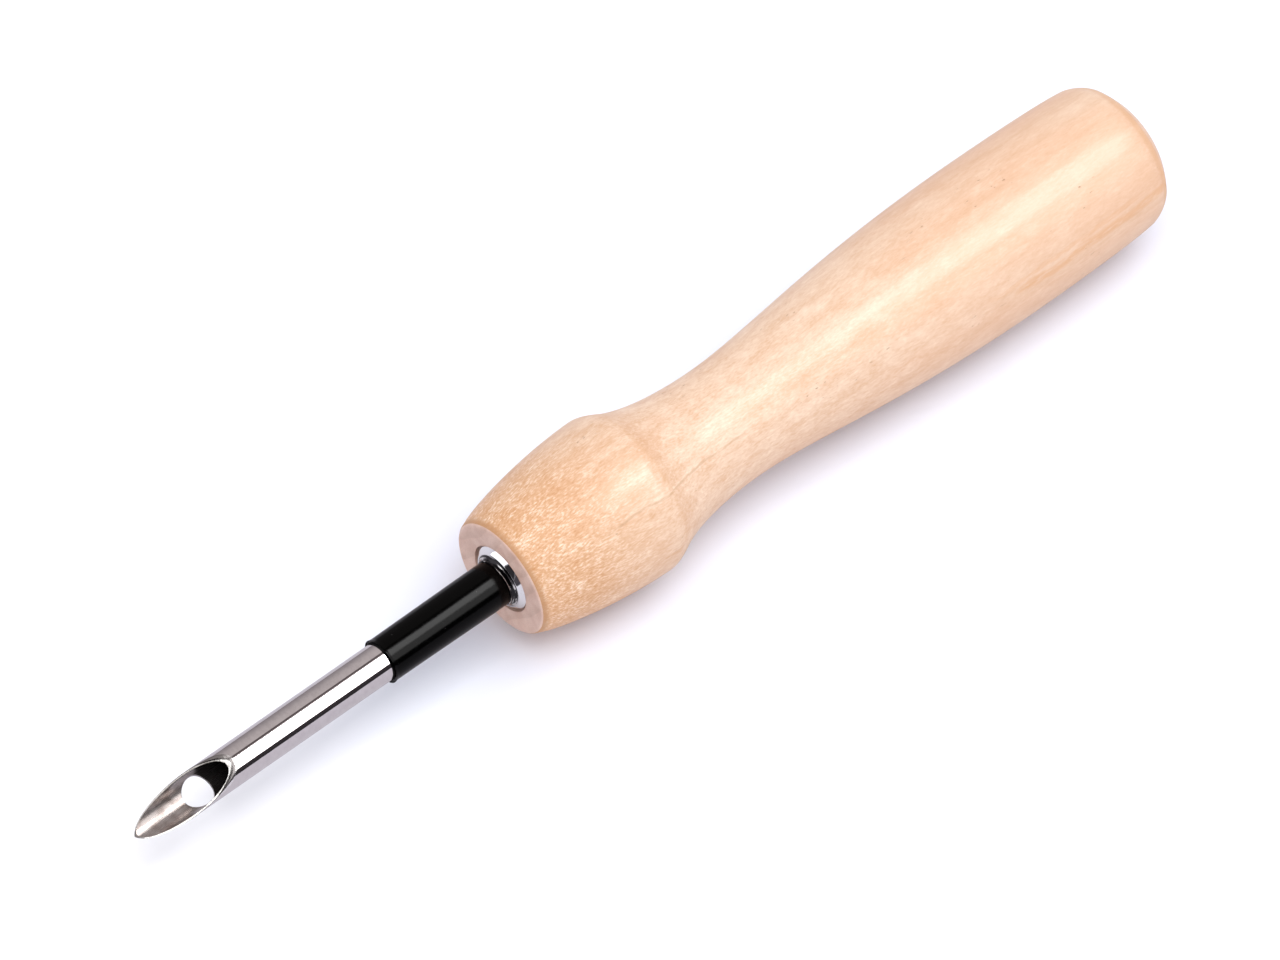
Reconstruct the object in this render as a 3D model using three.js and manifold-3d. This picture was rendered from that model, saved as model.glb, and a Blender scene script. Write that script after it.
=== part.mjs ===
// Punch needle for looped-yarn embroidery, in millimetres, +Z up.
//
// The tool lies on its side: its axis runs along X, the bevelled point is at -X and the butt at +X.
// Yarn enters the butt, runs through the handle's liner into the hollow needle and leaves by the eye.
//
// Every piece is drawn in the tool's own frame: local Y is the tool's axis, y = 0 is the handle's
// front face, and y grows towards the butt. One group at the end lays the tool down.

import * as THREE from "three";
import { mergeVertices } from "three/addons/utils/BufferGeometryUtils.js";
import Module from "manifold-3d";

// ---- Driving dimensions (mm) ------------------------------------------------------------------

const HANDLE_LENGTH = 97.5;
const NEEDLE_REACH = 54; // from the handle's front face to the point
const RUNNING_GAP = 0.05; // radial clearance of a piece that slides or is slipped on
const PRESS_GAP = 0.02; // radial clearance that stands for a press fit
const FACE_GAP = 0.05; // axial clearance between pieces that butt together

// Handle outline: stations along the axis with their radii, from the front face to the butt.
const FRONT_FLAT_RADIUS = 7.1;
const FRONT_SHOULDER = { y: 0.8, r: 7.7 };
const RING = { y: 18.2, r: 10.34 }; // widest place, a turned ring with a fairly crisp edge
const COVE_START = { y: 21.1, r: 9.32 };
const NECK = { y: 34.3, r: 7.25 };
const SWELL = { y: 76.8, r: 9.98 };
const BUTT_SHOULDER = { y: 94, r: 9.45 };
const BUTT_CHAMFER = { y: 95.9, r: 8.53 };
const BUTT_FLAT_RADIUS = 6.2;

// Needle: a steel tube with a long curved bevel.
const NEEDLE_RADIUS = 2.42;
const NEEDLE_BORE_RADIUS = 2.15;
const SHANK_DEPTH = 24; // how far the tube runs back into the handle
const TIP_THICKNESS = 0.02;
const BEVEL_SLOPE = 0.3; // rise of the cut past the point, mm per mm
const BEVEL_NOSE = 0.45; // length over which the cut starts to rise, which sharpens the point
const BEVEL_BOW = 0.0065; // how the cut steepens towards the heel, per mm
const BEVEL_REACH = 14; // the cutter runs past the heel by this length from the point
const BEVEL_TURN = 21; // degrees that the bevel faces away from straight up
const EYE_FROM_TIP = 9.2;
const EYE_RADIUS = 1.88;

// Ferrule: a flanged bush pressed into the handle, with a collar that stands proud of the flange.
const FLANGE_RADIUS = 4.31;
const FLANGE_THICKNESS = 0.5;
const FLANGE_BEVEL = 0.55; // width of the rear eyelet's sloped outer edge
const FLANGE_RECESS_RADIUS = 4.45;
const COLLAR_RADIUS = 2.95;
const COLLAR_ROOT = [3.42, -0.27]; // where the collar's flare meets the flange
const FLANGE_CREST = [3.6, -0.25]; // the flange slopes down from here to its outer edge
const COLLAR_HEIGHT = 0.87;
const STEM_RADIUS = 3.3;
const STEM_LENGTH = 12;

// Black plastic sleeve that limits how deep the needle goes.
const SLEEVE_LENGTH = 17.1;
const SLEEVE_ROOT_RADIUS = 2.87;
const SLEEVE_FRONT_RADIUS = 2.76;
const SLEEVE_LIP_RADIUS = 2.86;

// Yarn passage through the handle.
const LINER_RADIUS = 3.0;
const LINER_BORE_RADIUS = NEEDLE_RADIUS + RUNNING_GAP;
const EYELET_STEM_LENGTH = 5;
const EYELET_BORE_RADIUS = 2.1;
const EYELET_MOUTH_RADIUS = 3.1;

const ROUND_SEGMENTS = 48;
const CURVE_STEPS = 6; // straight steps in each curve of an outline
const FLARE_STEPS = 4;
const BEVEL_STEPS = 14;

// ---- Looks ------------------------------------------------------------------------------------

const WOOD = { color: 0xeac8a0, roughness: 0.55, metalness: 0 };
const CHROME = { color: 0xd9dadd, roughness: 0.12, metalness: 1 };
const NICKEL = { color: 0xb9b3ae, roughness: 0.2, metalness: 1 };
const STEEL = { color: 0x9b9c9e, roughness: 0.4, metalness: 1 };
const BLACK_PLASTIC = { color: 0x0b0b0c, roughness: 0.35, metalness: 0 };

// ---- Helpers ----------------------------------------------------------------------------------

const wasm = await Module();
wasm.setup();

const radians = THREE.MathUtils.degToRad;

// A named mesh with a material of its own.
function piece(name, geometry, look) {
  const mesh = new THREE.Mesh(geometry, new THREE.MeshStandardMaterial(look));
  mesh.name = name;
  return mesh;
}

// A ring-shaped solid about the Y axis from a closed outline of [radius, y] pairs, listed so that the
// outline runs from the front to the butt along the outside and back along the bore.
function turned(outline, firstAngle = Math.PI / ROUND_SEGMENTS) {
  const points = outline.map(([r, y]) => new THREE.Vector2(r, y));
  points.push(points[0].clone());
  return new THREE.LatheGeometry(points, ROUND_SEGMENTS, firstAngle, 2 * Math.PI);
}

// A closed three.js geometry as a solid that can be cut.
function solidOf(geometry) {
  const bare = geometry.clone();
  bare.deleteAttribute("normal");
  bare.deleteAttribute("uv");
  const merged = mergeVertices(bare, 1e-4);
  return new wasm.Manifold(
    new wasm.Mesh({
      numProp: 3,
      vertProperties: new Float32Array(merged.attributes.position.array),
      triVerts: new Uint32Array(merged.index.array),
    }),
  );
}

// The triangles of a cut solid as a three.js geometry.
function geometryOf(solid) {
  const { vertProperties, triVerts } = solid.getMesh();
  const geometry = new THREE.BufferGeometry();
  geometry.setAttribute("position", new THREE.BufferAttribute(vertProperties, 3));
  geometry.setIndex(new THREE.BufferAttribute(triVerts, 1));
  geometry.computeVertexNormals();
  return geometry;
}

// ---- Pieces -----------------------------------------------------------------------------------

// The turned outside of the handle, as [radius, y] pairs from the front face to the butt face.
function handleOutside() {
  const path = new THREE.Path();
  path.moveTo(FRONT_FLAT_RADIUS, 0);
  // A soft rounded edge, then the front bulb rising to the ring.
  path.quadraticCurveTo(7.5, 0.05, FRONT_SHOULDER.r, FRONT_SHOULDER.y);
  path.bezierCurveTo(8.7, 2.9, RING.r, 11.4, RING.r, RING.y);
  // Over the ring's edge into the cove and down to the neck.
  path.bezierCurveTo(RING.r, RING.y + 0.9, 9.75, 20.25, COVE_START.r, COVE_START.y);
  path.bezierCurveTo(8.25, 23.3, NECK.r, 28, NECK.r, NECK.y);
  // The long grip: out to the swell and slightly in again towards the butt.
  path.bezierCurveTo(NECK.r, 43.6, SWELL.r, 54.2, SWELL.r, SWELL.y);
  path.bezierCurveTo(SWELL.r, 84, 9.8, 91.8, BUTT_SHOULDER.r, BUTT_SHOULDER.y);
  // The butt's rounded shoulder and chamfer.
  path.quadraticCurveTo(9.18, 95.1, BUTT_CHAMFER.r, BUTT_CHAMFER.y);
  path.lineTo(6.5, HANDLE_LENGTH - 0.08);
  path.lineTo(BUTT_FLAT_RADIUS, HANDLE_LENGTH);
  return path.getPoints(CURVE_STEPS).map((p) => [p.x, p.y]);
}

const RECESS_DEPTH = FLANGE_THICKNESS + FACE_GAP;

// Wooden handle, bored right through, with a recess for a flange at each end.
function handle() {
  const stemBore = STEM_RADIUS + PRESS_GAP;
  const linerBore = LINER_RADIUS + PRESS_GAP;
  const stemBoreEnd = RECESS_DEPTH + STEM_LENGTH;
  return turned([
    ...handleOutside(),
    [FLANGE_RECESS_RADIUS, HANDLE_LENGTH],
    [FLANGE_RECESS_RADIUS, HANDLE_LENGTH - RECESS_DEPTH],
    [linerBore, HANDLE_LENGTH - RECESS_DEPTH],
    [linerBore, stemBoreEnd],
    [stemBore, stemBoreEnd],
    [stemBore, RECESS_DEPTH],
    [FLANGE_RECESS_RADIUS, RECESS_DEPTH],
    [FLANGE_RECESS_RADIUS, 0],
  ]);
}

// Chromed ferrule: a grooved collar that flares to the flange, a flange with a sloped front and a stem.
function frontFerrule() {
  const bore = NEEDLE_RADIUS + PRESS_GAP;
  const grooveDepth = 0.05;
  const flareStart = [COLLAR_RADIUS + 0.03, -COLLAR_HEIGHT + 0.2];
  const flare = new THREE.Path();
  flare.moveTo(...flareStart);
  flare.quadraticCurveTo(COLLAR_RADIUS + 0.15, -0.45, ...COLLAR_ROOT);
  const flarePoints = flare.getPoints(FLARE_STEPS).map((p) => [p.x, p.y]);
  return turned([
    [bore, -COLLAR_HEIGHT],
    [COLLAR_RADIUS, -COLLAR_HEIGHT],
    [COLLAR_RADIUS, -COLLAR_HEIGHT + 0.1],
    [COLLAR_RADIUS - grooveDepth, -COLLAR_HEIGHT + 0.14],
    ...flarePoints,
    FLANGE_CREST,
    [FLANGE_RADIUS, 0.28],
    [FLANGE_RADIUS, FLANGE_THICKNESS],
    [STEM_RADIUS, FLANGE_THICKNESS],
    [STEM_RADIUS, FLANGE_THICKNESS + STEM_LENGTH - 0.4],
    [STEM_RADIUS - 0.3, FLANGE_THICKNESS + STEM_LENGTH],
    [bore, FLANGE_THICKNESS + STEM_LENGTH],
  ]);
}

// Height of the bevel's cut above the lower wall's outside, at a distance from the point.
function bevelHeight(distance) {
  const square = distance * distance;
  return TIP_THICKNESS + (BEVEL_SLOPE * square) / (distance + BEVEL_NOSE) + BEVEL_BOW * square;
}

// Everything that the bevel grinds away: its side view, drawn as x = along the tube and y = up,
// extruded across the tube.
function bevelCutter() {
  const width = 4 * NEEDLE_RADIUS;
  const above = 2 * NEEDLE_RADIUS;
  const side = new THREE.Shape();
  side.moveTo(-NEEDLE_REACH - 1, above);
  side.lineTo(-NEEDLE_REACH - 1, bevelHeight(0) - NEEDLE_RADIUS);
  for (let i = 0; i <= BEVEL_STEPS; i++) {
    const distance = (BEVEL_REACH * i) / BEVEL_STEPS;
    side.lineTo(-NEEDLE_REACH + distance, bevelHeight(distance) - NEEDLE_RADIUS);
  }
  side.lineTo(-NEEDLE_REACH + BEVEL_REACH, above);
  const block = new THREE.ExtrudeGeometry(side, { depth: width, bevelEnabled: false });
  block.translate(0, 0, -width / 2);
  const alongTube = new THREE.Vector3(0, 1, 0);
  const up = new THREE.Vector3(0, 0, 1);
  const across = new THREE.Vector3(1, 0, 0);
  return block.applyMatrix4(new THREE.Matrix4().makeBasis(alongTube, up, across));
}

// The eye's drill: it goes through the lower wall only.
function eyeCutter() {
  const drill = new THREE.CylinderGeometry(EYE_RADIUS, EYE_RADIUS, 2 * NEEDLE_RADIUS, 36);
  drill.rotateX(Math.PI / 2);
  return drill.translate(0, -NEEDLE_REACH + EYE_FROM_TIP, -NEEDLE_RADIUS);
}

// Hollow needle, with its bevel facing local +Z and its point on the -Z side of the tube.
function hollowNeedle() {
  const blank = turned(
    [
      [NEEDLE_RADIUS, -NEEDLE_REACH],
      [NEEDLE_RADIUS, SHANK_DEPTH],
      [NEEDLE_BORE_RADIUS + 0.15, SHANK_DEPTH],
      [NEEDLE_BORE_RADIUS, SHANK_DEPTH - 0.3],
      [NEEDLE_BORE_RADIUS, -NEEDLE_REACH],
    ],
    0,
  );
  return geometryOf(solidOf(blank).subtract(solidOf(bevelCutter())).subtract(solidOf(eyeCutter())));
}

const SLEEVE_REAR = -COLLAR_HEIGHT - FACE_GAP;

// Black depth sleeve: a slightly tapered tube with a small lip where its front end was cut.
function depthSleeve() {
  const bore = NEEDLE_RADIUS + RUNNING_GAP;
  const front = SLEEVE_REAR - SLEEVE_LENGTH;
  return turned([
    [bore, front + 0.16],
    [SLEEVE_LIP_RADIUS, front],
    [SLEEVE_LIP_RADIUS, front + 0.12],
    [SLEEVE_FRONT_RADIUS, front + 0.5],
    [SLEEVE_ROOT_RADIUS, SLEEVE_REAR - 2],
    [SLEEVE_ROOT_RADIUS, SLEEVE_REAR - 0.1],
    [SLEEVE_ROOT_RADIUS - 0.1, SLEEVE_REAR],
    [bore, SLEEVE_REAR],
  ]);
}

const LINER_FRONT = RECESS_DEPTH + STEM_LENGTH + FACE_GAP;
const LINER_REAR = HANDLE_LENGTH - RECESS_DEPTH - FACE_GAP;

// Thin tube that lines the handle's bore and slips over the needle's shank.
function yarnLiner() {
  return turned([
    [LINER_BORE_RADIUS, LINER_FRONT],
    [LINER_RADIUS - 0.1, LINER_FRONT],
    [LINER_RADIUS, LINER_FRONT + 0.2],
    [LINER_RADIUS, LINER_REAR - 0.2],
    [LINER_RADIUS - 0.1, LINER_REAR],
    [LINER_BORE_RADIUS, LINER_REAR],
  ]);
}

// Rear eyelet: a flange in the butt's recess and a stem in the liner, with a flared mouth for the yarn.
function rearEyelet() {
  const stemRadius = LINER_BORE_RADIUS - PRESS_GAP;
  const face = HANDLE_LENGTH - FACE_GAP;
  const flangeFront = face - FLANGE_THICKNESS + FACE_GAP;
  const stemFront = flangeFront - EYELET_STEM_LENGTH;
  const mouthDepth = 1.2;
  const mouth = new THREE.Path();
  mouth.moveTo(EYELET_MOUTH_RADIUS, face);
  mouth.quadraticCurveTo(EYELET_BORE_RADIUS, face, EYELET_BORE_RADIUS, face - mouthDepth);
  const mouthPoints = mouth.getPoints(CURVE_STEPS).map((p) => [p.x, p.y]);
  return turned([
    [stemRadius - 0.15, stemFront],
    [stemRadius, stemFront + 0.3],
    [stemRadius, flangeFront],
    [FLANGE_RADIUS, flangeFront],
    [FLANGE_RADIUS, face - 0.16],
    [FLANGE_RADIUS - FLANGE_BEVEL, face],
    ...mouthPoints,
    [EYELET_BORE_RADIUS, stemFront],
  ]);
}

// ---- Assembly ---------------------------------------------------------------------------------

const needle = piece("hollow_needle", hollowNeedle(), NICKEL);
needle.rotation.y = radians(BEVEL_TURN);

const tool = new THREE.Group();
tool.add(
  piece("handle", handle(), WOOD),
  piece("front_ferrule", frontFerrule(), CHROME),
  needle,
  piece("depth_sleeve", depthSleeve(), BLACK_PLASTIC),
  piece("yarn_liner", yarnLiner(), STEEL),
  piece("rear_eyelet", rearEyelet(), CHROME),
);

// Lay the tool on its side, with the ring of the handle on the ground and the origin under the
// middle of the whole length. The ring's polygon rests on a flat side, so the axis is one apothem up.
const AXIS_HEIGHT = RING.r * Math.cos(Math.PI / ROUND_SEGMENTS);
const FRONT_FACE_X = (NEEDLE_REACH - HANDLE_LENGTH) / 2;
tool.rotation.z = -Math.PI / 2;
tool.position.set(FRONT_FACE_X, 0, AXIS_HEIGHT);

const part = new THREE.Group();
part.add(tool);

export default part;
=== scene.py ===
import math

import bpy
import numpy as np
from mathutils import Matrix, Vector
from mathutils.geometry import delaunay_2d_cdt


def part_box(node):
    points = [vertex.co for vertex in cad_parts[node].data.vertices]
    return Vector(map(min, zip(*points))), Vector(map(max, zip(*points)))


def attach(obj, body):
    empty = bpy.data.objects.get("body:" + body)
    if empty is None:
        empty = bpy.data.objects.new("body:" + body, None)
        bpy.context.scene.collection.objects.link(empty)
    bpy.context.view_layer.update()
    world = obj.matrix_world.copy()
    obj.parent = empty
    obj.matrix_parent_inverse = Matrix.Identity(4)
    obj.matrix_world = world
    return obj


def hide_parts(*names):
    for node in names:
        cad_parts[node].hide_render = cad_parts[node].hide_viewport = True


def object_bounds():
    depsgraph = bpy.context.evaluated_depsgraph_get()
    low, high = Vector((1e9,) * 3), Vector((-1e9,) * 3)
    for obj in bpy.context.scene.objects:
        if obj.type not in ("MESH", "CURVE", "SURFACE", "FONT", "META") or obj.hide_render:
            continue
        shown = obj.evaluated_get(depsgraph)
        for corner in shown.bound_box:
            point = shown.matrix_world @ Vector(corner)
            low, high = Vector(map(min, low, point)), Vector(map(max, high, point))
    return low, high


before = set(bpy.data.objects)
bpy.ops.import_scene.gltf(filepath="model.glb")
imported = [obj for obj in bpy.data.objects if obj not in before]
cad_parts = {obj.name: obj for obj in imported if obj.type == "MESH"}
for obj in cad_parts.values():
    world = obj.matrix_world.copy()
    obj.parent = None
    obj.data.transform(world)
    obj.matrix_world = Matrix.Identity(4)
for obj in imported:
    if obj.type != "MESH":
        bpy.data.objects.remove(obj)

# Visual model of the punch needle. Sizes are in millimetres, and a turned piece is drawn as
# (radius, y), where y is the distance along the axis from the handle's front face towards the butt.
# place() turns that into the frame's metres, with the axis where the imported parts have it.

MM = 0.001
CAD_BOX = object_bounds()
HANDLE_LOW, HANDLE_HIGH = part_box("handle")
FRONT_X = HANDLE_LOW.x
AXIS_Z = (HANDLE_LOW.z + HANDLE_HIGH.z) / 2
HANDLE_LENGTH = (HANDLE_HIGH.x - HANDLE_LOW.x) / MM
RING_RADIUS = (HANDLE_HIGH.z - HANDLE_LOW.z) / 2 / MM
NEEDLE_LOW, NEEDLE_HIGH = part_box("hollow_needle")
NEEDLE_REACH = (FRONT_X - NEEDLE_LOW.x) / MM
SHANK_DEPTH = (NEEDLE_HIGH.x - FRONT_X) / MM
SLEEVE_LOW, SLEEVE_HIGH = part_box("depth_sleeve")
SLEEVE_FRONT = (SLEEVE_LOW.x - FRONT_X) / MM
SLEEVE_REAR = (SLEEVE_HIGH.x - FRONT_X) / MM
SHARP_ANGLE = math.radians(38)  # an edge that turns more than this is shaded as a sharp one


# ---- Mesh helpers -----------------------------------------------------------------------------

def place(y, across, up):
    """A point of the tool, in millimetres, as a point of the frame in metres."""
    return Vector((FRONT_X + y * MM, across * MM, AXIS_Z + up * MM))


def bezier(*points, steps):
    """Points on a quadratic or cubic Bezier curve, without its first point."""
    degree = len(points) - 1
    out = []
    for i in range(1, steps + 1):
        t = i / steps
        weights = [math.comb(degree, k) * t**k * (1 - t) ** (degree - k) for k in range(degree + 1)]
        out.append(tuple(sum(w * p[axis] for w, p in zip(weights, points)) for axis in range(2)))
    return out


def rounded(corners, steps=4):
    """A closed outline from (radius, y, fillet) corners, each corner replaced by a small arc."""
    out = []
    count = len(corners)
    for i, (r, y, fillet) in enumerate(corners):
        corner = Vector((r, y))
        if fillet == 0:
            out.append((r, y))
            continue
        before = Vector(corners[i - 1][:2])
        after = Vector(corners[(i + 1) % count][:2])
        start = corner + (before - corner).normalized() * fillet
        end = corner + (after - corner).normalized() * fillet
        out.append(tuple(start))
        out.extend(bezier(tuple(start), tuple(corner), tuple(end), steps=steps))
    return out


def new_object(name, vertices, faces, materials, slots=None, normals=None):
    """A smooth-shaded mesh object in the frame's metres."""
    mesh = bpy.data.meshes.new(name)
    mesh.from_pydata([tuple(v) for v in vertices], [], faces)
    for material in materials:
        mesh.materials.append(material)
    if slots is not None:
        mesh.polygons.foreach_set("material_index", slots)
    mesh.shade_smooth()
    if normals is None:
        mesh.set_sharp_from_angle(angle=SHARP_ANGLE)
    else:
        mesh.normals_split_custom_set_from_vertices([tuple(n) for n in normals])
    piece = bpy.data.objects.new(name, mesh)
    bpy.context.scene.collection.objects.link(piece)
    return piece


def turned(name, outline, materials, segments=128, shape=None, slot_of=None):
    """A ring-shaped mesh from a closed (radius, y) outline, listed front to butt along the outside.
    shape(angle, r, y) may move a point a little; slot_of(r, y) picks a material for a face."""
    vertices = []
    for j in range(segments):
        angle = 2 * math.pi * j / segments
        for r, y in outline:
            if shape:
                r, y = shape(angle, r, y)
            vertices.append(place(y, r * math.sin(angle), r * math.cos(angle)))
    count = len(outline)
    faces = []
    slots = []
    for j in range(segments):
        here = j * count
        there = (j + 1) % segments * count
        for i in range(count):
            k = (i + 1) % count
            faces.append((here + i, there + i, there + k, here + k))
            if slot_of:
                middle = [(a + b) / 2 for a, b in zip(outline[i], outline[k])]
                slots.append(slot_of(*middle))
    return new_object(name, vertices, faces, materials, slots or None)


# ---- Material helpers -------------------------------------------------------------------------

class Shader:
    """A node material built step by step. Lengths in its textures are millimetres from the axis."""

    def __init__(self, name):
        self.material = bpy.data.materials.new(name)
        self.material.use_nodes = True
        self.tree = self.material.node_tree
        self.bsdf = self.tree.nodes["Principled BSDF"]
        coordinates = self.tree.nodes.new("ShaderNodeTexCoord").outputs["Object"]
        self.point = self.mapped(coordinates, (1 / MM,) * 3, (-FRONT_X / MM, 0, -AXIS_Z / MM))

    def link(self, value, socket):
        """Joins a node's output to a socket, or sets the socket to a constant."""
        if isinstance(value, bpy.types.NodeSocket):
            self.tree.links.new(value, socket)
        else:
            socket.default_value = value

    def mapped(self, vector, scale, move=(0, 0, 0)):
        """A vector scaled and then moved."""
        node = self.tree.nodes.new("ShaderNodeMapping")
        self.link(vector, node.inputs["Vector"])
        node.inputs["Scale"].default_value = scale
        node.inputs["Location"].default_value = move
        return node.outputs["Vector"]

    def part(self, vector, axis):
        """One component of a vector: 0 along the tool, 1 across it and 2 up."""
        node = self.tree.nodes.new("ShaderNodeSeparateXYZ")
        self.link(vector, node.inputs[0])
        return node.outputs[axis]

    def noise(self, scale, move=(0, 0, 0), detail=2.0, rough=0.5):
        """Fractal noise; scale is cells per millimetre along the axis, across and up."""
        node = self.tree.nodes.new("ShaderNodeTexNoise")
        self.link(self.mapped(self.point, scale, move), node.inputs["Vector"])
        node.inputs["Scale"].default_value = 1
        node.inputs["Detail"].default_value = detail
        node.inputs["Roughness"].default_value = rough
        return node.outputs["Fac"]

    def math(self, operation, a, b=0.0, c=0.0):
        """One step of arithmetic on sockets or numbers."""
        node = self.tree.nodes.new("ShaderNodeMath")
        node.operation = operation
        for value, socket in zip((a, b, c), node.inputs):
            self.link(value, socket)
        return node.outputs[0]

    def product(self, *values):
        """The values multiplied together."""
        result = values[0]
        for value in values[1:]:
            result = self.math("MULTIPLY", result, value)
        return result

    def remap(self, value, low, high, to_low=0.0, to_high=1.0, smooth=True):
        """A value's place from low to high, clamped, as a place from to_low to to_high."""
        node = self.tree.nodes.new("ShaderNodeMapRange")
        node.interpolation_type = "SMOOTHSTEP" if smooth else "LINEAR"
        for item, socket in zip((value, low, high, to_low, to_high), node.inputs):
            self.link(item, socket)
        return node.outputs[0]

    def ray_is(self, kind):
        """1 for rays of a kind, such as Camera or Glossy."""
        return self.tree.nodes.new("ShaderNodeLightPath").outputs[f"Is {kind} Ray"]

    def mix(self, factor, a, b):
        """Mixes two colours."""
        node = self.tree.nodes.new("ShaderNodeMix")
        node.data_type = "RGBA"
        self.link(factor, node.inputs[0])
        self.link(a if isinstance(a, bpy.types.NodeSocket) else (*a, 1), node.inputs[6])
        self.link(b if isinstance(b, bpy.types.NodeSocket) else (*b, 1), node.inputs[7])
        return node.outputs[2]

    def bump(self, height, depth, over=None):
        """Bump of a 0 to 1 height that is depth millimetres deep."""
        node = self.tree.nodes.new("ShaderNodeBump")
        node.inputs["Strength"].default_value = 1.0
        node.inputs["Distance"].default_value = depth * MM
        self.link(height, node.inputs["Height"])
        if over is not None:
            self.link(over, node.inputs["Normal"])
        return node.outputs["Normal"]

    def finish(self, **values):
        """Sets the surface's sockets by name, with _ for a space."""
        for name, value in values.items():
            self.link(value, self.bsdf.inputs[name.replace("_", " ")])
        return self.material


# ---- Materials --------------------------------------------------------------------------------

RING_CENTRE = (0, -52, -38)  # where the tree's heart lies from the tool's axis, across and up
RING_SPACING = 2.3


def growth_rings(shader):
    """Faint growth rings about a distant heart, warped a little along the grain: 0 to 1."""
    warp = shader.noise((0.02, 0.09, 0.09), (3, 1, 7), detail=3)
    offset = shader.mapped(shader.point, (1, 1, 1), RING_CENTRE)
    across = shader.part(offset, 1)
    up = shader.part(offset, 2)
    square = shader.math("ADD", shader.product(across, across), shader.product(up, up))
    distance = shader.math("SQRT", square)
    phase = shader.math("MULTIPLY_ADD", distance, 1 / RING_SPACING, shader.product(warp, 1.2))
    saw = shader.math("FRACT", phase)
    darkest = 0.93
    rise = shader.remap(saw, 0.35, darkest)
    fall = shader.remap(saw, darkest, 1.0, 1.0, 0.0)
    return shader.product(rise, fall)


def band(shader, value, middle, half_width):
    """1 at a middle value, falling to 0 at a half width on both sides."""
    off = shader.math("ABSOLUTE", shader.math("SUBTRACT", value, middle))
    return shader.remap(off, half_width, 0.25 * half_width)


def streak(shader, angle, half_width, start, end):
    """A mask for a thin broken line along the grain, at an angle from straight up towards the camera."""
    turn = math.radians(angle)
    across = shader.part(shader.point, 1)
    up = shader.part(shader.point, 2)
    along = shader.part(shader.point, 0)
    sway = 1.1  # how far the line may wander to each side, in millimetres
    fade = 3  # length over which each end fades
    wander = shader.noise((0.12, 0.0, 0.0), (angle, 3, 5), detail=2)
    side = shader.product(across, math.cos(turn))
    side = shader.math("MULTIPLY_ADD", up, math.sin(turn), side)
    side = shader.math("MULTIPLY_ADD", wander, 2 * sway, side)
    facing = shader.product(across, -math.sin(turn))
    facing = shader.remap(shader.math("MULTIPLY_ADD", up, math.cos(turn), facing), 0.0, 1.0)
    breaks = shader.remap(shader.noise((0.5, 2.5, 2.5), (4, angle, 6), detail=2), 0.3, 0.55, 0.25, 1.0)
    begin = shader.remap(along, start, start + fade)
    finish = shader.remap(along, end, end - fade)
    return shader.product(band(shader, side, sway, half_width), facing, breaks, begin, finish)


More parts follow.
